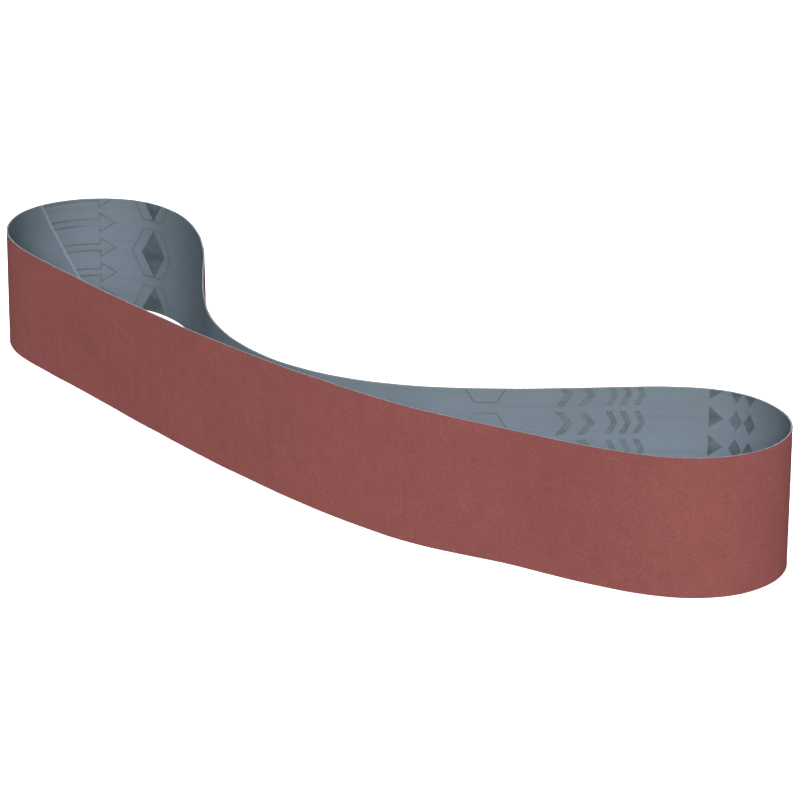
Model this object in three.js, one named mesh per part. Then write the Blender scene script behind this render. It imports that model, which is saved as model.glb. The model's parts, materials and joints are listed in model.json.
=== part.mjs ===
// An endless sanding belt: a cloth strip with abrasive on its outer face, its two ends skived and
// lapped at an angle, standing on one edge as a slack loop with a bulb at each end.
//
// Millimetres, +Z up. The long direction of the loop lies along X, and the lower edge on Z = 0.
// A place on the belt has three coordinates:
//   along    distance round the loop, measured on the cloth's inner face at half the width
//   across   0 at the lower edge, 1 at the upper edge
//   outward  distance from the cloth's inner face, towards the abrasive side

import * as THREE from 'three';

// Driving dimensions.
const BELT_LENGTH = 2000;
const BELT_WIDTH = 100;
const CLOTH = 0.6;
const MAKE_COAT = 0.1;
const GRAIN = 0.32;
const SIZE_COAT = 0.08;
const LAYER_GAP = 0.02; // clearance kept between bonded layers

// The splice. The ends are skived, laid over each other and glued.
const LAP = 10; // length of the overlap along the belt
const LAP_ANGLE = 64; // degrees between the cut ends and the belt's edge
const LAP_PLACE = 1867; // where along the loop the overlap's outer seam crosses half the width
const SEAM_GAP = 0.4; // between the two outer ends
const SKIVED_END = 0.25; // thickness left on each skived end
const ADHESIVE = 0.05;
const ADHESIVE_MARGIN = 0.5; // the film stops this short of each end of the overlap

// How the loop rests, seen from above: the bends of a closed cubic B-spline, anticlockwise from
// the far end of the front run. The third value is the lean, which is how far the upper edge
// stands outside the lower edge.
const BENDS = [
  [-363, -64, -3], // front run, far bulb
  [-272, -72, 9],
  [-7, -106, 4], // front run, waist
  [208, -101, -6],
  [264, -71, 7],
  [420, -40, 0], // near bulb
  [433, 76, -1],
  [319, 126, -1],
  [250, 17, -1], // back run, waist
  [135, -109, -2],
  [-54, -96, -1],
  [-229, 73, -1],
  [-388, 123, 4], // far bulb
  [-444, 20, -2],
];

// Fineness of the faceted solids.
const STATIONS_PER_BEND = 8;
const ACROSS_STEPS = 4;

const CLOTH_COLOUR = 0x74808a;
const RESIN_COLOUR = 0x7d3a30;
const GRAIN_COLOUR = 0x8a4a40;
const COAT_COLOUR = 0x96544f;
const GLUE_COLOUR = 0xb9a878;

// A closed, evenly knotted cubic B-spline over a list of bends.
class LoopPlan extends THREE.Curve {
  constructor(bends) {
    super();
    this.bends = bends;
    this.arcLengthDivisions = 100 * bends.length;
  }

  blend(t, item) {
    const count = this.bends.length;
    const place = THREE.MathUtils.euclideanModulo(t, 1) * count;
    const span = Math.floor(place);
    const u = place - span;
    const weights = [
      (1 - u) ** 3,
      3 * u ** 3 - 6 * u ** 2 + 4,
      -3 * u ** 3 + 3 * u ** 2 + 3 * u + 1,
      u ** 3,
    ];
    const bend = (offset) => this.bends[(span + offset + count) % count][item];
    return weights.reduce((sum, weight, k) => sum + (weight * bend(k - 1)) / 6, 0);
  }

  getPoint(t, target = new THREE.Vector3()) {
    return target.set(this.blend(t, 0), this.blend(t, 1), 0);
  }

  leanAt(t) {
    return this.blend(t, 2);
  }
}

// The plan, scaled so that its length is exactly the belt's.
function beltPlan() {
  const scale = BELT_LENGTH / new LoopPlan(BENDS).getLength();
  return new LoopPlan(BENDS.map(([x, y, lean]) => [x * scale, y * scale, lean]));
}

const plan = beltPlan();

function beltPoint(along, across, outward) {
  const distance = THREE.MathUtils.euclideanModulo(along, BELT_LENGTH);
  const t = plan.getUtoTmapping(0, distance);
  const lean = plan.leanAt(t);
  const tangent = plan.getTangent(t);
  const normal = new THREE.Vector3(tangent.y, -tangent.x, 0);
  const point = plan.getPoint(t).addScaledVector(normal, outward + lean * (across - 0.5));
  point.z = across * Math.sqrt(BELT_WIDTH ** 2 - lean ** 2);
  return point;
}

// Distances past the outer seam, measured along the belt, at which every strip is cut into
// facets. The plan's own spacing puts more of them in the bends.
const LAP_STATIONS = [0, ADHESIVE_MARGIN, LAP / 3, (2 * LAP) / 3, LAP - ADHESIVE_MARGIN, LAP];

function turnStations() {
  return plan
    .getLengths(STATIONS_PER_BEND * BENDS.length)
    .slice(1)
    .map((length) => THREE.MathUtils.euclideanModulo(length - LAP_PLACE, BELT_LENGTH))
    .filter((past) => past > 1.5 * LAP && past < BELT_LENGTH - LAP / 2)
    .sort((a, b) => a - b);
}

const OUTER_FACE_STATIONS = [...LAP_STATIONS, ...turnStations(), BELT_LENGTH - SEAM_GAP];

// A closed solid that follows the belt. faces(past) gives how far outward its inner and its
// outer face lie at a distance past the seam. Every quad is cut along the same diagonal, so
// that neighbouring layers have the same facets.
function bentStrip(stations, faces) {
  const slant = BELT_WIDTH / Math.tan(THREE.MathUtils.degToRad(LAP_ANGLE));
  const positions = [];
  for (const past of stations) {
    for (let step = 0; step <= ACROSS_STEPS; step += 1) {
      const across = step / ACROSS_STEPS;
      for (const outward of faces(past)) {
        const along = LAP_PLACE + past + slant * (across - 0.5);
        positions.push(...beltPoint(along, across, outward).toArray());
      }
    }
  }

  const corner = (station, step, side) => (station * (ACROSS_STEPS + 1) + step) * 2 + side;
  const indices = [];
  const quad = (a, b, c, d) => indices.push(a, b, c, a, c, d);
  const last = stations.length - 1;
  for (let i = 0; i < last; i += 1) {
    for (let j = 0; j < ACROSS_STEPS; j += 1) {
      const around = [[i, j], [i + 1, j], [i + 1, j + 1], [i, j + 1]];
      const [a, b, c, d] = around.map(([station, step]) => corner(station, step, 1));
      const [e, f, g, h] = around.map(([station, step]) => corner(station, step, 0));
      quad(a, b, c, d);
      indices.push(e, g, f, e, h, g);
    }
    const top = ACROSS_STEPS;
    quad(corner(i, 0, 0), corner(i + 1, 0, 0), corner(i + 1, 0, 1), corner(i, 0, 1));
    quad(corner(i, top, 1), corner(i + 1, top, 1), corner(i + 1, top, 0), corner(i, top, 0));
  }
  for (let j = 0; j < ACROSS_STEPS; j += 1) {
    quad(corner(0, j, 0), corner(0, j, 1), corner(0, j + 1, 1), corner(0, j + 1, 0));
    quad(corner(last, j, 1), corner(last, j, 0), corner(last, j + 1, 0), corner(last, j + 1, 1));
  }

  const geometry = new THREE.BufferGeometry();
  geometry.setAttribute('position', new THREE.Float32BufferAttribute(positions, 3));
  geometry.setIndex(indices);
  geometry.computeVertexNormals();
  return geometry;
}

function piece(name, geometry, color, roughness) {
  const material = new THREE.MeshStandardMaterial({ color, roughness, metalness: 0 });
  const mesh = new THREE.Mesh(geometry, material);
  mesh.name = name;
  return mesh;
}

// In the overlap the outer end thins from its inner side, and the inner end passes under it.
const skive = (past) => (CLOTH - SKIVED_END) * (1 - past / LAP);
const glueRoom = ADHESIVE + 2 * LAYER_GAP;

function clothFaces(past) {
  if (past <= LAP) {
    return [skive(past), CLOTH];
  }
  if (past < BELT_LENGTH) {
    return [0, CLOTH];
  }
  const under = past - BELT_LENGTH;
  const outer = skive(under) - glueRoom;
  const drop = (SKIVED_END + glueRoom) * (under / LAP);
  return [-drop, outer];
}

function clothBacking() {
  const innerEnd = LAP_STATIONS.map((past) => BELT_LENGTH + past);
  const stations = [...OUTER_FACE_STATIONS, ...innerEnd];
  return piece('cloth_backing', bentStrip(stations, clothFaces), CLOTH_COLOUR, 0.85);
}

// A coat covers the whole outer face, from one outer end to the other.
function coat(name, base, thickness, color, roughness) {
  const geometry = bentStrip(OUTER_FACE_STATIONS, () => [base, base + thickness]);
  return piece(name, geometry, color, roughness);
}

function spliceAdhesive() {
  const stations = LAP_STATIONS.slice(1, -1);
  const faces = (past) => [skive(past) - LAYER_GAP - ADHESIVE, skive(past) - LAYER_GAP];
  return piece('splice_adhesive', bentStrip(stations, faces), GLUE_COLOUR, 0.4);
}

const makeBase = CLOTH + LAYER_GAP;
const grainBase = makeBase + MAKE_COAT + LAYER_GAP;
const sizeBase = grainBase + GRAIN + LAYER_GAP;

const belt = new THREE.Group();
belt.add(clothBacking());
belt.add(coat('make_coat', makeBase, MAKE_COAT, RESIN_COLOUR, 0.6));
belt.add(coat('abrasive_grain', grainBase, GRAIN, GRAIN_COLOUR, 0.9));
belt.add(coat('size_coat', sizeBase, SIZE_COAT, COAT_COLOUR, 0.75));
belt.add(spliceAdhesive());

// The origin is under the middle of the loop's box.
const middle = new THREE.Box3().setFromObject(belt).getCenter(new THREE.Vector3());
belt.position.set(-middle.x, -middle.y, 0);

const group = new THREE.Group();
group.add(belt);

export default group;
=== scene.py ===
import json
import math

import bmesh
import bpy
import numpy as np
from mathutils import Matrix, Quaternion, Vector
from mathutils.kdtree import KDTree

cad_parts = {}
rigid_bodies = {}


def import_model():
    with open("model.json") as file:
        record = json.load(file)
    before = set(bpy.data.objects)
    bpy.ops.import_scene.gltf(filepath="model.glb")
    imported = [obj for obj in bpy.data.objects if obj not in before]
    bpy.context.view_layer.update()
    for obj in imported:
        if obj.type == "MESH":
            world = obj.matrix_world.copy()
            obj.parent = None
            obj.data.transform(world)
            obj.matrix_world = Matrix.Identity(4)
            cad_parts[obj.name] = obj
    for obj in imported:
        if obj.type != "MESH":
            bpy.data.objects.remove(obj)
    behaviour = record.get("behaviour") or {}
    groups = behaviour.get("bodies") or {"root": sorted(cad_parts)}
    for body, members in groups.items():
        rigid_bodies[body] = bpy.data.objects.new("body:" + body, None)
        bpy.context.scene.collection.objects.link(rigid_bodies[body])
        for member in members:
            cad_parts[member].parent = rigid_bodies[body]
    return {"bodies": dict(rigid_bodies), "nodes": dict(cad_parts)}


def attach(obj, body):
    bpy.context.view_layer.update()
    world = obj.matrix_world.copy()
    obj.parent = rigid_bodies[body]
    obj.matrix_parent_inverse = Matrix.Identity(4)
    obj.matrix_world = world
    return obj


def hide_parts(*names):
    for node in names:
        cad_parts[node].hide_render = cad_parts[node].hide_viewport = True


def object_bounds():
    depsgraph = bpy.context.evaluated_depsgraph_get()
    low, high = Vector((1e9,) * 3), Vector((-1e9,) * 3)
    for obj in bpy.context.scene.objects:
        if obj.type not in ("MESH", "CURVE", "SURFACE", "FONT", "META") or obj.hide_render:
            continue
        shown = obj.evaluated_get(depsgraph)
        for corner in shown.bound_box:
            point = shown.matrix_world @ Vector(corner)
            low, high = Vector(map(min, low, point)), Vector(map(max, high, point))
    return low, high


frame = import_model()

# An endless sanding belt standing on one edge: blue-grey cloth inside, red-brown grain outside,
# with a slanted lapped splice and running marks printed on the cloth. Lengths are in metres,
# except in the print's tables and the materials, which count in millimetres.
#
# A place on the belt has three coordinates: along, the distance round the loop; across, 0 at the
# lower edge and 1 at the upper; and outward, the distance from the cloth's inner face.

MM = 0.001
cad_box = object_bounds()
BODY = next(iter(frame["bodies"]))


# ---------------------------------------------------------------- the belt's path, from the CAD

MERGED_DIGITS = 7  # points of the CAD that agree to this many decimals of a metre are one point
RIM_UPRIGHT = 0.9  # the normals of a rim's triangles point at least this much up or down
WHOLE_CLOTH = 0.99  # the cloth is skived where it is thinner than this share of its thickness
SAMPLES = 4000  # points kept round the loop
RIPPLES = [  # height, whole waves round the loop, phase, change of phase from edge to edge
    (0.16 * MM, 17, 0.4, 1.3),
    (0.10 * MM, 31, 2.1, -2.0),
    (0.06 * MM, 53, 4.4, 2.6),
]


def shared_mesh(node):
    """A CAD node's points and triangles, with coincident points merged."""
    mesh = frame["nodes"][node].data
    places = np.array([v.co for v in mesh.vertices])
    points, where = np.unique(places.round(MERGED_DIGITS), axis=0, return_inverse=True)
    corners = np.array([p.vertices for p in mesh.polygons])
    return points, where.reshape(-1)[corners]


def rim_outline(node, up):
    """The closed outline of a CAD strip's upper (up = 1) or lower (up = -1) rim, in order."""
    points, triangles = shared_mesh(node)
    a, b, c = (points[triangles[:, k]] for k in range(3))
    normals = np.cross(b - a, c - a)
    normals /= np.linalg.norm(normals, axis=1)[:, None]
    rim = triangles[normals[:, 2] * up > RIM_UPRIGHT]
    edges = np.sort(np.concatenate([rim[:, [0, 1]], rim[:, [1, 2]], rim[:, [2, 0]]]), axis=1)
    outline, uses = np.unique(edges, axis=0, return_counts=True)
    neighbours = {}
    for i, j in outline[uses == 1]:
        neighbours.setdefault(i, []).append(j)
        neighbours.setdefault(j, []).append(i)
    start = min(neighbours)
    chain = [start, neighbours[start][0]]
    while chain[-1] != start:
        chain.append(next(k for k in neighbours[chain[-1]] if k != chain[-2]))
    return points[chain[:-1]]


def rails(node, up):
    """A rim's inner and outer rails, anticlockwise from above, from the strip's first end on."""
    outline = rim_outline(node, up)
    steps = np.linalg.norm(np.roll(outline, -1, axis=0) - outline, axis=1)
    first_end = np.sort(np.argsort(steps)[:2])[0]  # the two shortest steps cross the ends
    outline = np.roll(outline, -(first_end + 1), axis=0)
    half = len(outline) // 2
    inner, outer = outline[:half], outline[half:][::-1]
    if loop_length(inner) > loop_length(outer):
        inner, outer = outer, inner
    if plan_area(inner) < 0:
        inner, outer = inner[::-1], outer[::-1]
    return inner, outer


def loop_length(points):
    return np.linalg.norm(np.roll(points, -1, axis=0) - points, axis=1).sum()


def plan_area(points):
    x, y = points[:, 0], points[:, 1]
    return (x * np.roll(y, -1) - y * np.roll(x, -1)).sum() / 2


def closed_spline(knots, samples):
    """Samples of the periodic cubic spline through the knots."""
    ahead = np.roll(knots, -1, axis=0)
    gaps = np.linalg.norm(ahead - knots, axis=1)
    before = np.roll(gaps, 1)
    slopes = (ahead - knots) / gaps[:, None]
    count = len(knots)
    row = np.arange(count)
    matrix = np.diag(2 * (before + gaps))
    matrix[row, (row + 1) % count] = gaps
    matrix[row, row - 1] = before
    bend = np.linalg.solve(matrix, 6 * (slopes - np.roll(slopes, 1, axis=0)))
    starts = np.concatenate([[0], np.cumsum(gaps)])
    place = np.arange(samples) * starts[-1] / samples
    k = np.searchsorted(starts, place, "right") - 1
    n = (k + 1) % count
    done = (place - starts[k])[:, None]
    gap = gaps[k][:, None]
    left = gap - done
    return (
        (bend[k] * left**3 + bend[n] * done**3) / (6 * gap)
        + (knots[k] / gap - bend[k] * gap / 6) * left
        + (knots[n] / gap - bend[n] * gap / 6) * done
    )


class Belt:
    """The cloth's inner face as a smooth ruled surface, with the splice's place on it."""

    def __init__(self, node):
        low_in, low_out = rails(node, -1)
        up_in, up_out = rails(node, 1)
        thick = np.linalg.norm(low_out - low_in, axis=1)
        whole = thick > WHOLE_CLOTH * thick.max()
        lower = closed_spline(low_in[whole], SAMPLES)
        upper = closed_spline(up_in[whole], SAMPLES)
        self.settle(lower, self.partners(lower, upper))
        self.cloth = thick.max()  # the cloth's thickness
        self.end = thick[0]  # what is left of it at a skived end
        self.under = self.outward_of(low_out[-1])  # the outer face of the inner cut end
        self.seam_low = self.along_of(low_in[0])  # the outer seam's place on the lower edge
        self.slant = (self.along_of(up_in[0]) - self.seam_low) % self.length
        self.lap = (self.along_of(low_in[-1]) - self.seam_low) % self.length

    def partners(self, lower, upper):
        """For each lower point, the upper point on the same straight ruling."""
        tree = KDTree(len(upper))
        for k, point in enumerate(upper):
            tree.insert((point[0], point[1], 0), k)
        tree.balance()
        near = np.array([tree.find((p[0], p[1], 0))[1] for p in lower])
        ways = np.roll(upper, -1, axis=0) - np.roll(upper, 1, axis=0)
        ways /= np.linalg.norm(ways[:, :2], axis=1)[:, None]
        slip = ((lower - upper[near])[:, :2] * ways[near][:, :2]).sum(axis=1)
        return upper[near] + ways[near] * slip[:, None]

    def settle(self, lower, upper):
        """Keeps the two edges at even steps of the length along the middle."""
        middle = ((lower + upper) / 2)[:, :2]
        steps = np.linalg.norm(np.roll(middle, -1, axis=0) - middle, axis=1)
        starts = np.concatenate([[0], np.cumsum(steps)])
        self.length = starts[-1]
        self.step = self.length / SAMPLES
        even = np.arange(SAMPLES) * self.step
        closed = [np.vstack([edge, edge[:1]]) for edge in (lower, upper)]
        self.lower, self.upper = (
            np.stack([np.interp(even, starts, edge[:, k]) for k in range(3)], axis=1)
            for edge in closed
        )
        middle = (self.lower + self.upper) / 2
        way = np.roll(middle, -2, axis=0) - np.roll(middle, 2, axis=0)
        self.normal = np.stack([way[:, 1], -way[:, 0], 0 * way[:, 0]], axis=1)
        self.normal /= np.linalg.norm(self.normal, axis=1)[:, None]
        self.width = np.linalg.norm(self.upper - self.lower, axis=1).mean()

    def nearest(self, point):
        """The edge on which a rim point lies, and the number of the nearest sample."""
        edge = self.lower if point[2] < self.width / 2 else self.upper
        return edge, np.linalg.norm(edge[:, :2] - point[:2], axis=1).argmin()

    def along_of(self, point):
        return self.nearest(point)[1] * self.step

    def outward_of(self, point):
        edge, k = self.nearest(point)
        return float((point - edge[k]) @ self.normal[k])

    def at(self, along, across, outward):
        """Points at those places, with the slight ripple that real cloth has."""
        along, across, outward = np.broadcast_arrays(along, across, outward)
        place = (along / self.step) % SAMPLES
        k = np.floor(place).astype(int)
        part = (place - k)[..., None]
        k = k % SAMPLES
        n = (k + 1) % SAMPLES
        lower, upper, normal = (
            table[k] * (1 - part) + table[n] * part
            for table in (self.lower, self.upper, self.normal)
        )
        out = outward + self.ripple(along, across)
        across = across[..., None]
        return lower * (1 - across) + upper * across + normal * out[..., None]

    def ripple(self, along, across):
        """How far the cloth's slight waviness moves it outward."""
        turn = 2 * math.pi * along / self.length
        return sum(
            size * np.sin(waves * turn + phase + twist * across)
            for size, waves, phase, twist in RIPPLES
        )

    def along_past(self, past, across):
        """The place along the loop at a distance past the splice's outer seam."""
        return self.seam_low + past + self.slant * across


belt = Belt("cloth_backing")
HALF_WIDTH = belt.width / 2


# ---------------------------------------------------------------- meshes

FLAT_MAP = "belt"
CREASE_ANGLE = math.radians(40)  # steeper edges, such as the rims', are shaded sharp


def finish_piece(mesh, materials, slot, node=None, smooth=True):
    """Makes the object, which rides on the belt's one body and stands for the CAD node, if any."""
    piece = bpy.data.objects.new(mesh.name, mesh)
    bpy.context.scene.collection.objects.link(piece)
    for material in materials:
        mesh.materials.append(material)
    mesh.polygons.foreach_set("use_smooth", np.full(len(mesh.polygons), smooth))
    mesh.set_sharp_from_angle(angle=CREASE_ANGLE)
    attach(piece, BODY)
    if node:
        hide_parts(node)
    return piece


def steps_between(start, stop, step):
    """Even steps from start to stop, each as near as can be to step."""
    return np.linspace(start, stop, max(2, int(round((stop - start) / step)) + 1))


def lay_flat(mesh, flat):
    """Stores each point's place on the uncurled belt, in metres, as the mesh's UV map."""
    layer = mesh.uv_layers.new(name=FLAT_MAP)
    corners = np.zeros(len(mesh.loops), np.int32)
    mesh.loops.foreach_get("vertex_index", corners)
    layer.data.foreach_set("uv", flat[corners].astype(np.float32).ravel())


def strip_mesh(name, past, across, faces):
    """A closed thin strip on a slanted grid. past runs from the outer seam on, and faces gives
    the inner and outer face there. The rim and the two ends take material slot 1."""
    past, across = np.meshgrid(past, across, indexing="ij")
    along = belt.along_past(past, across)
    sides = [belt.at(along, across, outward).reshape(-1, 3) for outward in faces(past)]
    low, high = np.arange(2 * past.size).reshape(2, *past.shape)

    def quads(a, b, c, d):
        return np.stack([a, b, c, d], axis=-1).reshape(-1, 4)

    wide = [
        quads(high[:-1, :-1], high[1:, :-1], high[1:, 1:], high[:-1, 1:]),
        quads(low[:-1, :-1], low[:-1, 1:], low[1:, 1:], low[1:, :-1]),
    ]
    narrow = [
        quads(low[:-1, 0], low[1:, 0], high[1:, 0], high[:-1, 0]),
        quads(high[:-1, -1], high[1:, -1], low[1:, -1], low[:-1, -1]),
        quads(low[0, :-1], high[0, :-1], high[0, 1:], low[0, 1:]),
        quads(high[-1, :-1], low[-1, :-1], low[-1, 1:], high[-1, 1:]),
    ]
    mesh = bpy.data.meshes.new(name)
    polygons = np.concatenate(wide + narrow)
    mesh.from_pydata(np.concatenate(sides), [], polygons.tolist())
    slots = np.ones(len(polygons), np.int32)
    slots[:sum(map(len, wide))] = 0
    mesh.polygons.foreach_set("material_index", slots)
    flat = np.stack([past + belt.slant * across, belt.width * across], axis=-1).reshape(-1, 2)
    lay_flat(mesh, np.concatenate([flat, flat]))
    mesh.update()
    return mesh


class Tufts:
    """Gathers many small three-sided fibres, each tapering along its path."""

    def __init__(self):
        self.points, self.faces = [], []
        self.count = 0

    def add(self, path, one_side, other_side, radius, tip):
        """A fibre along the path, from a radius at its root to one at its tip."""
        turns = 2 * math.pi * np.arange(3) / 3
        ring = np.outer(np.cos(turns), one_side) + np.outer(np.sin(turns), other_side)
        sizes = np.linspace(radius, tip, len(path))
        self.points.append((path[:, None] + ring * sizes[:, None, None]).reshape(-1, 3))
        base = self.count
        self.faces.append([base + 2, base + 1, base])
        for level in range(base, base + 3 * len(path) - 3, 3):
            for k, n in ((0, 1), (1, 2), (2, 0)):
                self.faces.append([level + k, level + n, level + n + 3, level + k + 3])
        self.count += 3 * len(path)
        self.faces.append([self.count - 3, self.count - 2, self.count - 1])

    def mesh(self, name):
        mesh = bpy.data.meshes.new(name)
        mesh.from_pydata(np.concatenate(self.points), [], self.faces)
        mesh.update()
        return mesh


# ---------------------------------------------------------------- the strip's layers

SEAM_GAP = 0.4 * MM  # between the two outer ends
ROW_STEP = 1.25 * MM  # between the rows of a mesh, round the loop
LAP_ROW_STEP = 0.5 * MM
FILM_ROW_STEP = 0.4 * MM
CLOTH_COLUMNS, COAT_COLUMNS, FILM_COLUMNS = 13, 9, 33  # points from edge to edge
FILM_START = 0.5 * MM  # past the outer seam
FILM_MARGIN = 0.004  # of the width, left free along each edge
FILM_DEPTHS = (0.07 * MM, 0.02 * MM)  # of its two faces, inside the outer end's inner face
SQUEEZED_OUT = 0.9 * MM  # how far the adhesive reaches past the overlap


def cloth_faces(past):
    """The cloth's faces. In the overlap the outer end thins, and the inner end passes under."""
    thinned = belt.cloth - belt.end
    beyond = (past - belt.length) / belt.lap
    inner = np.where(past < belt.lap, thinned * (1 - past / belt.lap), 0.0)
    inner = np.where(beyond >= 0, (belt.under - belt.end) * beyond, inner)
    outer = np.where(beyond >= 0, belt.under + thinned * (1 - beyond), belt.cloth)
    return inner, outer


def cloth_rows():
    full = belt.length
    return np.concatenate([
        steps_between(0, belt.lap, LAP_ROW_STEP),
        steps_between(belt.lap, full - SEAM_GAP, ROW_STEP)[1:],
        steps_between(full, full + belt.lap, LAP_ROW_STEP),
    ])


def coat_levels(node):
    """How far outward the inner and outer face of one of the CAD coats lie."""
    places = [belt.outward_of(point) for point in rim_outline(node, -1)]
    return min(places), max(places)


def coat_faces(node):
    """The same two faces all the way round."""
    levels = coat_levels(node)
    return lambda past: levels


def film_faces(past):
    """The adhesive lies on the outer end's inner face, and is squeezed out past the overlap."""
    face = cloth_faces(np.minimum(past, belt.lap))[0]
    return [face - depth for depth in FILM_DEPTHS]


# ---------------------------------------------------------------- back print

# Marks are drawn on the flat strip: how far along it, and how high up it.
PRINT_START = 112 * MM
PRINT_REPEAT = 1000 * MM
PRINT_CLEAR = (105 * MM, 1.5 * MM)  # left blank past the outer seam and before the inner end
PRINT_MARGIN = 0.4 * MM  # left blank along each edge
INK_INSIDE = 0.06 * MM  # from the cloth's inner face
INK_THICK = 0.03 * MM
INK_STEP = 2.5 * MM  # marks are cut this often along the belt, to bend with it


def ribbon(points, width):
    """Four-cornered marks that make a closed line of even width, mitred at its corners."""
    points = np.array(points, float)
    ahead = np.roll(points, -1, axis=0) - points
    ahead /= np.linalg.norm(ahead, axis=1)[:, None]
    behind = np.roll(ahead, 1, axis=0)
    square = np.stack([-ahead[:, 1], ahead[:, 0]], axis=1)
    miter = square + np.stack([-behind[:, 1], behind[:, 0]], axis=1)
    miter /= (miter * square).sum(axis=1)[:, None]
    left, right = points + miter * width / 2, points - miter * width / 2
    ends = [(k, (k + 1) % len(points)) for k in range(len(points))]
    return [[right[k], right[n], left[n], left[k]] for k, n in ends]


def arrow(tip, height, head, length, half_head, half_shaft, line):
    """An outlined arrow that points in the running direction."""
    neck, tail = tip + head, tip + length
    outline = [
        (tip, height),
        (neck, height - half_head),
        (neck, height - half_shaft),
        (tail, height - half_shaft),
        (tail, height + half_shaft),
        (neck, height + half_shaft),
        (neck, height + half_head),
    ]
    return ribbon(outline, line)


def hexagon(centre, height, radius, line):
    turns = 2 * math.pi * np.arange(6) / 6
    return ribbon(
        np.stack([centre + radius * np.cos(turns), height + radius * np.sin(turns)], axis=1),
        line,
    )


def diamond(centre, height, half_along, half_up):
    return [[
        (centre - half_along, height),
        (centre, height - half_up),
        (centre + half_along, height),
        (centre, height + half_up),
    ]]


def triangle(centre, height, width, tall):
    tip, base = centre - width / 2, centre + width / 2
    return [[(tip, height), (base, height - tall / 2), (base, height + tall / 2)]]


def chevron(centre, height, width, tall, line):
    """Two arms that lean back from a tip in the running direction."""
    tip, tail = centre - width / 2, centre + width / 2 - line
    return [
        [
            (tip, height),
            (tip + line, height),
            (tail + line, height + half),
            (tail, height + half),
        ]
        for half in (-tall / 2, tall / 2)
    ]


# The marks of one repeat, in millimetres: what they are, where along the repeat they stand, how
# high the lowest of them stands, how far the next ones are above it, and a mark's own sizes.
DENSE_MARKS = [
    (triangle, [29], 14.8, 21.4, (11, 16)),
    (diamond, [14, 2.5], 14.8, 21.4, (5.2, 8)),
    (diamond, [836], 2, 52, (15, 22)),
]
FAINT_MARKS = [
    (chevron, [138, 122], 9, 21.5, (13.5, 17.5, 6.2)),
    (chevron, [104, 94, 84], 9, 21.5, (9, 17.5, 4.6)),
    (hexagon, [194], 30, 37, (16.5, 1.2)),
    (hexagon, [836], 2, 52, (25, 1.3)),
    (arrow, [877], 9, 23, (14, 76, 8.5, 3.0, 1.7)),
]


def marks_from(start, table):
    """The outlines of one repeat's marks, those that an edge of the belt cuts through included."""
    for shape, places, first, pitch, sizes in table:
        for height in np.arange(first * MM, belt.width + pitch * MM / 2, pitch * MM):
            for place in places:
                yield from shape(start + place * MM, height, *(size * MM for size in sizes))


def print_mesh(name, table):
    """The marks, cut off at the strip's edges and ends and bent round with the cloth."""
    bm = bmesh.new()
    for start in np.arange(PRINT_START, belt.length, PRINT_REPEAT):
        for mark in marks_from(start, table):
            bm.faces.new([bm.verts.new((along, height, 0)) for along, height in mark])
    slanted = Vector((1, -belt.slant / belt.width, 0))
    for place, way in (
        ((0, PRINT_MARGIN, 0), Vector((0, -1, 0))),
        ((0, belt.width - PRINT_MARGIN, 0), Vector((0, 1, 0))),
        ((PRINT_CLEAR[0], 0, 0), -slanted),
        ((belt.length + belt.lap - PRINT_CLEAR[1], 0, 0), slanted),
    ):
        cut(bm, place, way, clear_outer=True)
    for along in np.arange(0, belt.length + belt.slant + belt.lap, INK_STEP):
        cut(bm, (along, 0, 0), (1, 0, 0))
    bm.normal_update()
    turned = [face for face in bm.faces if face.normal.z > 0]
    bmesh.ops.reverse_faces(bm, faces=turned)
    mesh = bpy.data.meshes.new(name)
    bm.to_mesh(mesh)
    bm.free()
    flat = np.array([v.co[:2] for v in mesh.vertices])
    lay_flat(mesh, flat)
    across = flat[:, 1] / belt.width
    past = flat[:, 0] - belt.slant * across
    lift = cloth_faces(past)[0] - INK_INSIDE
    mesh.vertices.foreach_set(
        "co", belt.at(belt.seam_low + flat[:, 0], across, lift).astype(np.float32).ravel()
    )
    thicken(mesh, INK_THICK)
    return mesh


def cut(bm, place, way, **choices):
    """Cuts the whole mesh with a plane through the place, square to the way."""
    everything = bm.verts[:] + bm.edges[:] + bm.faces[:]
    bmesh.ops.bisect_plane(bm, geom=everything, plane_co=place, plane_no=way, **choices)


def thicken(mesh, thickness):
    bm = bmesh.new()
    bm.from_mesh(mesh)
    bmesh.ops.solidify(bm, geom=bm.faces[:], thickness=thickness)
    bm.to_mesh(mesh)
    bm.free()
    mesh.update()


# ---------------------------------------------------------------- fibres and grains

rng = np.random.default_rng(21)
WEFT_PITCH = 0.5 * MM  # of the cross yarns, counted along the belt
WARP_PITCH = 0.42 * MM  # of the long yarns, counted across it
EDGE_YARN = {"radius": 0.13 * MM, "tip": 0.05 * MM}
EDGE_YARN_ROOT = 0.003  # of the width, inside the cut edge
LONG_YARN = {"radius": 0.15 * MM, "tip": 0.07 * MM}
LONG_YARN_ROOT = 0.3 * MM  # inside the inner cut end
STRAY_FIBRES = 110
STRAY_FIBRE = {"radius": 0.035 * MM, "tip": 0.015 * MM}
PROUD_GRAINS = 1500
PROUD_GRAIN_SIZES = (0.14 * MM, 0.27 * MM)
RIM_GRAIN_PITCH = 0.55 * MM
RIM_GRAIN_SIZES = (0.16 * MM, 0.30 * MM)
GRAIN_SPAN = (1 * MM, belt.length - 2 * MM)  # past the outer seam


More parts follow.
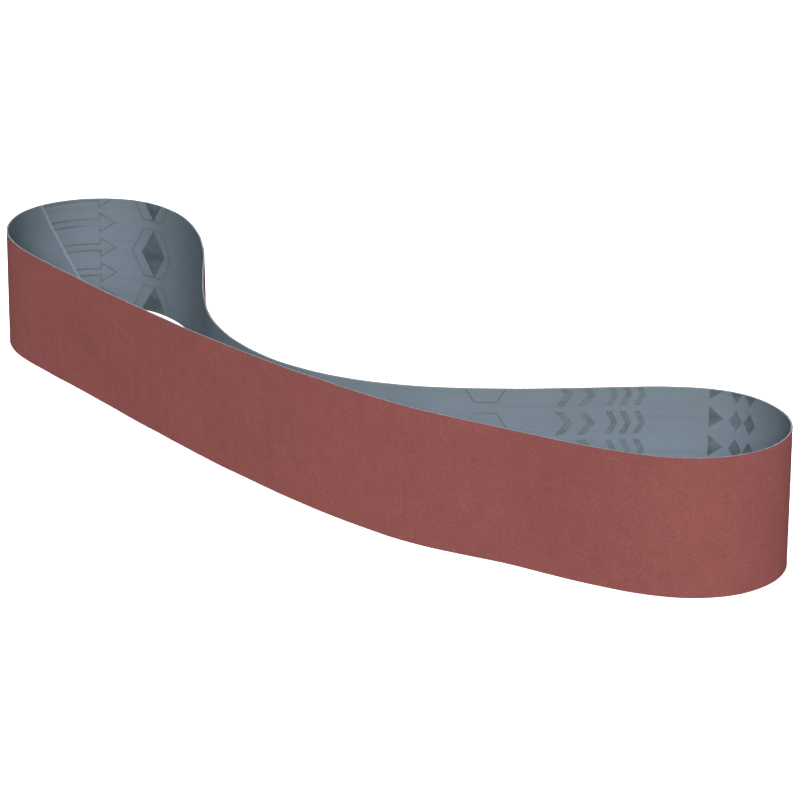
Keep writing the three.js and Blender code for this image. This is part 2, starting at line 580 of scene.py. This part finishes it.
def edge_yarn_mesh():
    """The cut ends of the cross yarns, standing along the upper edge and splayed at the lower."""
    stub, splay, above_table = 0.36 * MM, 0.3 * MM, 0.06 * MM
    tufts = Tufts()
    count = int(belt.length / WEFT_PITCH)
    past = (np.arange(count) + rng.uniform(-0.3, 0.3, count)) * WEFT_PITCH
    for across, up in ((1.0, 1), (0.0, -1)):
        depth = belt.cloth * rng.uniform(0.2, 0.8, count)
        tall = rng.uniform(0.0, 0.3, count) * MM
        lean = rng.normal(0, 0.25, (count, 2)) * MM
        along = belt.along_past(past, across)
        roots = belt.at(along, across - up * EDGE_YARN_ROOT, depth)
        outs = (belt.at(along, across - up * EDGE_YARN_ROOT, depth + MM) - roots) / MM
        sides = np.cross(outs, (0, 0, 1))
        reach = lean[:, 0] if up > 0 else np.copysign(tall + splay, lean[:, 0])
        tips = roots + outs * reach[:, None] + sides * lean[:, 1:]
        tips[:, 2] = roots[:, 2] + tall + stub if up > 0 else above_table
        for root, tip, out, side in zip(roots, tips, outs, sides):
            tufts.add(np.array([root, tip]), out, side, **EDGE_YARN)
    return tufts.mesh("edge_yarn_ends")


def splice_fray_mesh():
    """The ends of the long yarns, lying past the inner ply's cut end."""
    least_reach, sunk = 0.25 * MM, 0.13 * MM
    tufts = Tufts()
    up = np.array([0, 0, 1.0])
    share = np.linspace(0, 1, 4)
    for k in range(1, int(belt.width / WARP_PITCH)):
        across = (k + rng.uniform(-0.25, 0.25)) * WARP_PITCH / belt.width
        reach = abs(rng.normal(0, 0.55)) * MM + least_reach
        level = belt.under - belt.end * rng.uniform(0.15, 0.85)
        distance = belt.lap - LONG_YARN_ROOT + share * (reach + LONG_YARN_ROOT)
        outward = level * (1 - share**2) - sunk * share**2
        sway = np.cumsum(rng.normal(0, 0.1 * MM, len(share))) / belt.width
        places = np.clip(across + sway, 0.001, 0.999)
        path = belt.at(belt.along_past(distance, across), places, outward)
        square = np.cross(path[-1] - path[0], up)
        tufts.add(path, square / np.linalg.norm(square), up, **LONG_YARN)
    return tufts.mesh("splice_fray")


def stray_fibre_mesh():
    """Fine fibres that have worked loose from the cut edges, two in three from the upper one."""
    tufts = Tufts()
    share = np.linspace(0, 1, 6)
    for k in range(STRAY_FIBRES):
        past = rng.uniform(0, belt.length)
        reach = rng.uniform(0.8, 2.6) * MM
        bend = rng.normal(0, 0.7, 2) * reach
        upper = k % 3 > 0
        across = 1.0 if upper else 0.0
        along = belt.along_past(past, across)
        root = belt.at(along, across, belt.cloth / 2)
        out = belt.at(along, across, belt.cloth / 2 + MM) - root
        out /= np.linalg.norm(out)
        side = np.array([-out[1], out[0], 0])
        sideways = share * (bend[1] if upper else reach)
        rise = reach * share * (1 - 0.5 * share if upper else 0.04)
        path = (
            root
            + np.outer(share**2 * bend[0], out)
            + np.outer(sideways, side)
            + np.outer(rise, (0, 0, 1))
        )
        tufts.add(path, out, side + np.array([0, 0, 0.5]), **STRAY_FIBRE)
    return tufts.mesh("stray_fibres")


def proud_places(top):
    """Where coarser grains stand a little proud of the coat, and how big they are."""
    across = rng.uniform(0.006, 0.994, PROUD_GRAINS)
    past = rng.uniform(*GRAIN_SPAN, PROUD_GRAINS)
    sizes = rng.uniform(*PROUD_GRAIN_SIZES, PROUD_GRAINS)
    outward = top + rng.uniform(-0.25, 0.35, PROUD_GRAINS) * sizes
    return belt.at(belt.along_past(past, across), across, outward), sizes


def rim_places(base, top):
    """Where grains show along the upper cut edge, and how big they are."""
    past = np.arange(*GRAIN_SPAN, RIM_GRAIN_PITCH)
    sizes = rng.uniform(*RIM_GRAIN_SIZES, len(past))
    outward = rng.uniform(base, top, len(past))
    points = belt.at(belt.along_past(past, 1.0), 1.0, outward)
    points[:, 2] += rng.uniform(-0.1, 0.12, len(past)) * MM
    return points, sizes


def stones_mesh(name, centres, sizes):
    """Small angular stones at those places: octahedra turned and stretched at random."""
    corners = np.array([
        (1, 0, 0), (-1, 0, 0), (0, 1, 0), (0, -1, 0), (0, 0, 1), (0, 0, -1)
    ], float)
    sides = [
        (0, 2, 4), (2, 1, 4), (1, 3, 4), (3, 0, 4), (2, 0, 5), (1, 2, 5), (3, 1, 5), (0, 3, 5)
    ]
    points, faces = [], []
    for k, (centre, size) in enumerate(zip(centres, sizes)):
        turn = np.linalg.qr(rng.normal(size=(3, 3)))[0]
        stretch = rng.uniform(0.6, 1.25, (len(corners), 1))
        points.append(centre + (corners * stretch * size) @ turn)
        flip = 1 if np.linalg.det(turn) > 0 else -1
        faces += [[len(corners) * k + c for c in side[::flip]] for side in sides]
    mesh = bpy.data.meshes.new(name)
    mesh.from_pydata(np.concatenate(points), [], faces)
    mesh.update()
    return mesh


# ---------------------------------------------------------------- materials

class Look:
    """A procedural material, with short ways to add nodes and to join them."""

    def __init__(self, name, roughness, specular):
        self.material = bpy.data.materials.new(name)
        self.material.use_nodes = True
        self.tree = self.material.node_tree
        self.surface = self.tree.nodes["Principled BSDF"]
        self.put(self.surface.inputs["Roughness"], roughness)
        self.put(self.surface.inputs["Specular IOR Level"], specular)

    def put(self, socket, value):
        if isinstance(value, bpy.types.NodeSocket):
            self.tree.links.new(value, socket)
        else:
            socket.default_value = value

    def node(self, kind, inputs, **settings):
        node = self.tree.nodes.new("ShaderNode" + kind)
        for name, value in settings.items():
            setattr(node, name, value)
        for name, value in inputs.items():
            self.put(node.inputs[name], value)
        return node

    def math(self, operation, *values):
        node = self.node("Math", dict(enumerate(values)), operation=operation)
        return node.outputs[0]

    def flat(self, along=1.0, up=1.0):
        """The place on the uncurled belt, counted in cells of that many millimetres."""
        place = self.node("UVMap", {}, uv_map=FLAT_MAP).outputs[0]
        scale = (1 / (along * MM), 1 / (up * MM), 1)
        return self.node("VectorMath", {0: place, 1: scale}, operation="MULTIPLY").outputs[0]

    def solid(self, size):
        """The place in space, counted in cells of that many millimetres."""
        place = self.node("TexCoord", {}).outputs["Object"]
        scale = (1 / (size * MM),) * 3
        return self.node("VectorMath", {0: place, 1: scale}, operation="MULTIPLY").outputs[0]

    def split(self, vector):
        return self.node("SeparateXYZ", {0: vector}).outputs

    def noise(self, place, detail=2.0, roughness=0.5, dimensions="2D"):
        inputs = {"Vector": place, "Scale": 1.0, "Detail": detail, "Roughness": roughness}
        node = self.node("TexNoise", inputs, noise_dimensions=dimensions)
        return node.outputs[0]

    def cells(self, place, dimensions="2D"):
        """Distance to the nearest cell's middle, and a number of its own for each cell."""
        inputs = {"Vector": place, "Scale": 1.0}
        node = self.node("TexVoronoi", inputs, voronoi_dimensions=dimensions)
        return node.outputs["Distance"], self.split(node.outputs["Color"])[0]

    def chance(self, number):
        """A number from 0 to 1 that belongs to a whole number."""
        return self.node("TexWhiteNoise", {"W": number}, noise_dimensions="1D").outputs[0]

    def mottle(self, place, low, high, detail):
        """A factor that wanders between low and high from place to place."""
        return self.ramp(self.noise(place, detail), 0.3, 0.7, low, high)

    def ramp(self, value, low, high, start=0.0, stop=1.0):
        """Start up to where the value is low, stop from where it is high, straight in between."""
        inputs = {0: value, 1: low, 2: high, 3: start, 4: stop}
        return self.node("MapRange", inputs).outputs[0]

    def blend(self, share, one, other):
        """The first colour where the share is 0, and the other where it is 1."""
        colours = [(*c, 1) if isinstance(c, tuple) else c for c in (one, other)]
        inputs = {0: share, 6: colours[0], 7: colours[1]}
        return self.node("Mix", inputs, data_type="RGBA").outputs[2]

    def tinted(self, colour, factor):
        """A colour made lighter or darker by a factor."""
        node = self.node("VectorMath", {0: colour, "Scale": factor}, operation="SCALE")
        return node.outputs[0]

    def product(self, *values):
        result = values[0]
        for value in values[1:]:
            result = self.math("MULTIPLY", result, value)
        return result

    def colour(self, value):
        self.put(self.surface.inputs["Base Color"], value)

    def roughen(self, value):
        self.put(self.surface.inputs["Roughness"], value)

    def bump(self, height, depth, strength=1.0):
        inputs = {"Height": height, "Distance": depth, "Strength": strength}
        self.put(self.surface.inputs["Normal"], self.node("Bump", inputs).outputs[0])


CLOTH_BLUE = (0.156, 0.197, 0.238)
# painted shade: the cloth's inner face darkens to this blue towards both edges
RIM_SHADE_BLUE = (0.148, 0.187, 0.214)
RIM_SHADE_BAND = 26  # the width along each edge over which the cloth darkens to the rim blue, as painted shade
COTTON = (0.29, 0.345, 0.395)
DARK_GLUE = (0.19, 0.225, 0.25)
PALE_GLUE = (0.29, 0.33, 0.345)
DENSE_INK = (0.058, 0.076, 0.084)
FAINT_INK = (0.094, 0.120, 0.132)
GRAIN_RED = (0.287, 0.092, 0.086)
GRAIN_CELL, FINE_GRAIN_CELL = 0.34, 0.19  # from grain to grain
SPECK = (0.46, 0.30, 0.28)  # a grain with its top coat knocked off
RESIN = (0.105, 0.030, 0.026)
BOND_RESIN = (0.13, 0.042, 0.034)
CUT_STONE = (0.30, 0.11, 0.10)
STONE = (0.27, 0.092, 0.086)
PALE_STONE = (0.31, 0.125, 0.115)
DARK_STONE = (0.16, 0.075, 0.07)
TWILL_YARNS = 3.0  # one cross yarn in this many lies on top, shifted by one from row to row


def twill(look):
    """The weave: its height, from 0 between the yarns to 1 on top, and each yarn's own tone."""
    along, up, _ = look.split(look.flat())
    drift = look.noise(look.flat(9, 4), detail=1.0)
    warp = look.math("MULTIPLY_ADD", drift, 0.8, look.math("DIVIDE", up, WARP_PITCH / MM))
    weft = look.math("MULTIPLY_ADD", drift, 0.6, look.math("DIVIDE", along, WEFT_PITCH / MM))
    warp_number, weft_number = look.math("FLOOR", warp), look.math("FLOOR", weft)
    crowns = [
        look.math("SINE", look.math("MULTIPLY", look.math("FRACT", place), math.pi))
        for place in (warp, weft)
    ]
    place = look.math("ADD", warp_number, weft_number)
    warp_on_top = look.math("GREATER_THAN", look.math("FLOORED_MODULO", place, TWILL_YARNS), 0.5)
    heights = [
        look.product(crowns[0], look.ramp(crowns[1], 0, 1, 0.75, 1)),
        look.product(crowns[1], look.ramp(crowns[0], 0, 1, 0.55, 0.85)),
    ]
    tones = [look.chance(number) for number in (warp_number, weft_number)]
    height, tone = (
        look.node("Mix", {0: warp_on_top, 2: pair[1], 3: pair[0]}).outputs[0]
        for pair in (heights, tones)
    )
    return height, tone


def from_middle(look):
    """Millimetres up or down from the belt's middle line."""
    up = look.split(look.flat())[1]
    return look.math("ABSOLUTE", look.math("SUBTRACT", up, HALF_WIDTH / MM))


def cloth_shade(look, height, tone):
    """How light the dyed cloth is: yarn by yarn, darker down between the yarns as painted shade,
    in streaks along the belt, and in patches.
    """
    return look.product(
        look.ramp(tone, 0, 1, 0.95, 1.05),
        # painted shade: darker where the weave lies low, between the yarns
        look.ramp(height, 0, 0.8, 0.80, 1.04),
        look.mottle(look.flat(160, 5), 0.975, 1.025, 2.0),
        look.mottle(look.flat(45, 30), 0.965, 1.035, 3.0),
    )


def cloth_colour(look, height, tone):
    """The dyed cloth, darkened towards both edges with painted shade, and with a pale fleck here
    and there.
    """
    # painted shade: the cloth darkens towards both edges
    rim_shade = look.ramp(from_middle(look), HALF_WIDTH / MM - RIM_SHADE_BAND, HALF_WIDTH / MM)
    dyed = look.blend(rim_shade, CLOTH_BLUE, RIM_SHADE_BLUE)
    colour = look.tinted(dyed, cloth_shade(look, height, tone))
    _, fleck = look.cells(look.flat(2.6, 0.9))
    return look.blend(look.ramp(fleck, 0.994, 0.996, 0, 0.08), colour, COTTON)


def worn(look):
    """How worn the cloth is: ground pale before its inner cut end, and fuzzy at its edges."""
    along, up, _ = look.split(look.flat())
    past = look.math("MULTIPLY_ADD", up, -belt.slant / belt.width, along)
    ragged = look.math("MULTIPLY_ADD", look.noise(look.flat(1.2, 1.5), 3.0), 1.6, past)
    fuzzy = look.math(
        "MULTIPLY_ADD", look.noise(look.flat(1.4, 0.6), 3.0), 0.9, from_middle(look)
    )
    end, edge = (belt.length + belt.lap) / MM, HALF_WIDTH / MM
    return look.math(
        "MAXIMUM",
        look.ramp(ragged, end - 1.6, end - 0.2, 0, 0.5),
        look.ramp(fuzzy, edge - 0.1, edge + 0.35, 0, 0.5),
    )


def filled(look, height):
    """The weave's height with the filling between its yarns."""
    return look.math("MAXIMUM", height, 0.3)


def cloth_look():
    look = Look("resin-filled cloth", 0.66, 0.3)
    height, tone = twill(look)
    look.colour(look.blend(worn(look), cloth_colour(look, height, tone), COTTON))
    look.roughen(look.ramp(height, 0, 1, 0.74, 0.58))
    look.bump(filled(look, height), 0.09 * MM, 0.55)
    return look.material


def cut_cloth_look():
    """The cut ends of the yarns, as the cloth's own rim shows them."""
    look = Look("cut yarn", 0.9, 0.15)
    distance, tone = look.cells(look.solid(0.34), "3D")
    shade = look.product(look.ramp(distance, 0.1, 0.8, 1.1, 0.6), look.ramp(tone, 0, 1, 0.8, 1.1))
    look.colour(look.tinted(COTTON, shade))
    look.bump(distance, 0.1 * MM, 0.5)
    return look.material


def cotton_look():
    """Loose yarns and fibres, dyed in places."""
    look = Look("loose yarn", 0.9, 0.15)
    dyed = look.ramp(look.noise(look.solid(6.0), 2.0, dimensions="3D"), 0.42, 0.66, 0.15, 0.75)
    tone = look.noise(look.solid(0.7), 2.0, dimensions="3D")
    shade = look.ramp(tone, 0.3, 0.7, 0.8, 1.12)
    look.colour(look.tinted(look.blend(dyed, COTTON, CLOTH_BLUE), shade))
    look.put(look.surface.inputs["Sheen Weight"], 0.15)
    return look.material


def ink_look(name, colour):
    """Thin ink that has sunk between the yarns and worn off some of their tops."""
    look = Look(name, 0.6, 0.3)
    height, tone = twill(look)
    cloth = cloth_colour(look, height, tone)
    ink = look.tinted(colour, look.mottle(look.flat(3, 2), 0.85, 1.2, 3.0))
    broken = look.noise(look.flat(1.1, 0.7), 4.0, 0.65)
    patchy = look.noise(look.flat(26, 14), 2.0)
    missing = look.math("MULTIPLY_ADD", patchy, 0.55, look.math("MULTIPLY", broken, 0.6))
    look.colour(look.blend(look.ramp(missing, 0.5, 0.76, 0.06, 0.75), ink, cloth))
    look.bump(filled(look, height), 0.08 * MM, 0.5)
    return look.material


def film_look():
    """Hazy dried glue."""
    look = Look("splice adhesive", 0.42, 0.5)
    haze = look.noise(look.flat(1.6, 2.2), 3.0)
    look.colour(look.blend(look.ramp(haze, 0.35, 0.65), DARK_GLUE, PALE_GLUE))
    look.bump(haze, 0.05 * MM, 0.4)
    return look.material


def grain_height(look):
    """Grains side by side under the top coat, and each grain's own number."""
    distance, tone = look.cells(look.flat(GRAIN_CELL, GRAIN_CELL))
    fine, fine_tone = look.cells(look.flat(FINE_GRAIN_CELL, FINE_GRAIN_CELL))
    big = look.product(look.ramp(distance, 0.0, 0.75, 1, 0), look.ramp(tone, 0, 1, 0.45, 1))
    small = look.product(look.ramp(fine, 0.0, 0.8, 1, 0), look.ramp(fine_tone, 0, 1, 0.1, 0.5))
    return look.math("MAXIMUM", big, small), tone


def face_look():
    """Grains under a thin pigmented coat, a few of them bare."""
    look = Look("coated grain face", 0.8, 0.12)
    look.put(look.surface.inputs["Diffuse Roughness"], 0.38)
    height, tone = grain_height(look)
    shade = look.product(
        look.ramp(tone, 0, 1, 0.95, 1.05),
        look.mottle(look.flat(13, 13), 0.965, 1.035, 4.0),
        look.mottle(look.flat(90, 60), 0.97, 1.03, 2.0),
        look.mottle(look.flat(3.5, 70), 0.985, 1.015, 2.0),
    )
    covered = look.blend(look.ramp(height, 0.0, 0.42), RESIN, GRAIN_RED)
    _, speck = look.cells(look.flat(0.8, 0.8))
    bare = look.ramp(speck, 0.998, 0.999, 0, 0.2)
    look.colour(look.blend(bare, look.tinted(covered, shade), SPECK))
    look.roughen(look.ramp(tone, 0, 1, 0.88, 0.62))
    look.bump(height, 0.16 * MM, 0.36)
    return look.material


def section_look(name, light, dark, size):
    """A cut through a coat of stones in resin, as its rim shows."""
    look = Look(name, 0.75, 0.25)
    distance, tone = look.cells(look.solid(size), "3D")
    stone = look.tinted(light, look.ramp(tone, 0, 1, 0.6, 1.3))
    look.colour(look.blend(look.ramp(distance, 0.35, 0.6), stone, dark))
    look.bump(distance, 0.12 * MM, 0.5)
    return look.material


def stone_look(name, coated_colour, bare_colour):
    """Single grains, some coated and some bare."""
    look = Look(name, 0.45, 0.4)
    tone = look.noise(look.solid(4.0), 2.0, dimensions="3D")
    look.colour(look.blend(look.ramp(tone, 0.35, 0.62), coated_colour, bare_colour))
    look.bump(look.noise(look.solid(0.12), 2.0, dimensions="3D"), 0.03 * MM, 0.4)
    return look.material


# ---------------------------------------------------------------- pieces

def add_strip():
    """Adds the cloth and, outside it, its three coats, and returns the cloth."""
    columns = np.linspace(0, 1, CLOTH_COLUMNS)
    mesh = strip_mesh("backing_cloth", cloth_rows(), columns, cloth_faces)
    cloth = finish_piece(mesh, [cloth_look(), cut_cloth_look()], "backing_cloth", "cloth_backing")
    rows = steps_between(0, belt.length - SEAM_GAP, ROW_STEP)
    columns = np.linspace(0, 1, COAT_COLUMNS)
    resin = section_look("bond resin", BOND_RESIN, RESIN, 0.2)
    stones = section_look("grain section", CUT_STONE, RESIN, 0.3)
    top_coat = section_look("top coat section", GRAIN_RED, RESIN, 0.15)
    for node, name, looks, slot in (
        ("make_coat", "bond_coat", [resin, resin], "bond_resin"),
        ("abrasive_grain", "grain_layer", [stones, stones], "grain"),
        ("size_coat", "grain_face", [face_look(), top_coat], "grain_face"),
    ):
        finish_piece(strip_mesh(name, rows, columns, coat_faces(node)), looks, slot, node)
    return cloth


def add_splice():
    """Adds the adhesive between the lapped ends."""
    rows = steps_between(FILM_START, belt.lap + SQUEEZED_OUT, FILM_ROW_STEP)
    columns = np.linspace(FILM_MARGIN, 1 - FILM_MARGIN, FILM_COLUMNS)
    film = film_look()
    mesh = strip_mesh("splice_film", rows, columns, film_faces)
    finish_piece(mesh, [film, film], "splice_film", "splice_adhesive")


def add_fibres():
    """Adds the yarn ends and loose fibres, and returns them."""
    yarn = cotton_look()
    return [
        finish_piece(mesh, [yarn], "backing_cloth")
        for mesh in (splice_fray_mesh(), edge_yarn_mesh(), stray_fibre_mesh())
    ]


def add_print():
    """Adds the ink marks on the cloth, and returns them."""
    return [
        finish_piece(print_mesh(name, table), [ink_look(name, ink)], "backing_cloth", smooth=False)
        for name, table, ink in (
            ("dense_print", DENSE_MARKS, DENSE_INK),
            ("faint_print", FAINT_MARKS, FAINT_INK),
        )
    ]


def add_grains():
    """Adds the grains that stand proud of the face or show in the upper cut edge."""
    base = coat_levels("abrasive_grain")[0]
    top = coat_levels("size_coat")[1]
    for name, (centres, sizes), look in (
        ("proud_grains", proud_places(top), stone_look("bare grain", STONE, PALE_STONE)),
        ("rim_grains", rim_places(base, top), stone_look("rim grain", RESIN, DARK_STONE)),
    ):
        finish_piece(stones_mesh(name, centres, sizes), [look], "grain", smooth=False)


cloth = add_strip()
add_splice()
trimmings = add_fibres()
prints = add_print()
add_grains()


# ---------------------------------------------------------------- studio

CAMERA_AZIMUTH = 48.633  # angles are in degrees
CAMERA_ELEVATION = 18.931
CAMERA_ROLL = 0.09
CAMERA_DISTANCE = 2.0759
CAMERA_LENS = 120.5  # the lens and the sensor are in millimetres
SENSOR_WIDTH = 36
CAMERA_AIM = Vector((0.0422, 0.0393, -0.0163))  # from the middle of the belt's box
KEY_LIGHT = {"azimuth": 48, "elevation": 28, "power": 755}
BACK_LIGHT = {"azimuth": 230, "elevation": 35, "power": 880}
LIGHT_DISTANCE = 8.0
LIGHT_SIZE = 3.2
WORLD_LIGHT = 0.23
FLOOR_SIZE = 60
FLOOR_GLOW = 0.75


def direction(azimuth, elevation):
    """Towards that azimuth and elevation: azimuth 0 is -Y, and 90 is +X."""
    turn, rise = math.radians(azimuth), math.radians(elevation)
    level = math.cos(rise)
    return Vector((math.sin(turn) * level, -math.cos(turn) * level, math.sin(rise)))


def add_object(name, data):
    thing = bpy.data.objects.new(name, data)
    bpy.context.scene.collection.objects.link(thing)
    thing.rotation_mode = "QUATERNION"
    return thing


def add_camera(centre):
    data = bpy.data.cameras.new("camera")
    data.lens = CAMERA_LENS
    data.sensor_width = SENSOR_WIDTH
    camera = add_object("camera", data)
    back = direction(CAMERA_AZIMUTH, CAMERA_ELEVATION)
    camera.location = centre + CAMERA_AIM + back * CAMERA_DISTANCE
    level = (-back).to_track_quat("-Z", "Y")
    roll = Quaternion(back, math.radians(CAMERA_ROLL))
    camera.rotation_quaternion = roll @ level
    bpy.context.scene.camera = camera


def add_light(name, centre, azimuth, elevation, power):
    """A round softbox that faces the centre."""
    data = bpy.data.lights.new(name, "AREA")
    data.shape = "DISK"
    data.size = LIGHT_SIZE
    data.energy = power
    light = add_object(name, data)
    back = direction(azimuth, elevation)
    light.location = centre + back * LIGHT_DISTANCE
    light.rotation_quaternion = (-back).to_track_quat("-Z", "Y")


def add_world():
    world = bpy.data.worlds.new("studio")
    world.use_nodes = True
    background = world.node_tree.nodes["Background"]
    background.inputs["Color"].default_value = (1, 1, 1, 1)
    background.inputs["Strength"].default_value = WORLD_LIGHT
    bpy.context.scene.world = world
    bpy.context.scene.view_settings.view_transform = "Standard"


def add_floor():
    """A pale, back-lit table top under the belt."""
    half = FLOOR_SIZE / 2
    mesh = bpy.data.meshes.new("floor")
    corners = [(-half, -half, 0), (half, -half, 0), (half, half, 0), (-half, half, 0)]
    mesh.from_pydata(corners, [], [(0, 1, 2, 3)])
    look = Look("table top", 0.9, 0.1)
    look.colour((0.9, 0.9, 0.9, 1))
    look.put(look.surface.inputs["Emission Color"], (1, 1, 1, 1))
    look.put(look.surface.inputs["Emission Strength"], FLOOR_GLOW)
    mesh.materials.append(look.material)
    floor = add_object("floor", mesh)
    floor.visible_diffuse = False
    floor.visible_glossy = False


middle = (cad_box[0] + cad_box[1]) / 2
add_camera(middle)
add_light("key_softbox", middle, **KEY_LIGHT)
add_light("back_softbox", middle, **BACK_LIGHT)
add_world()
add_floor()
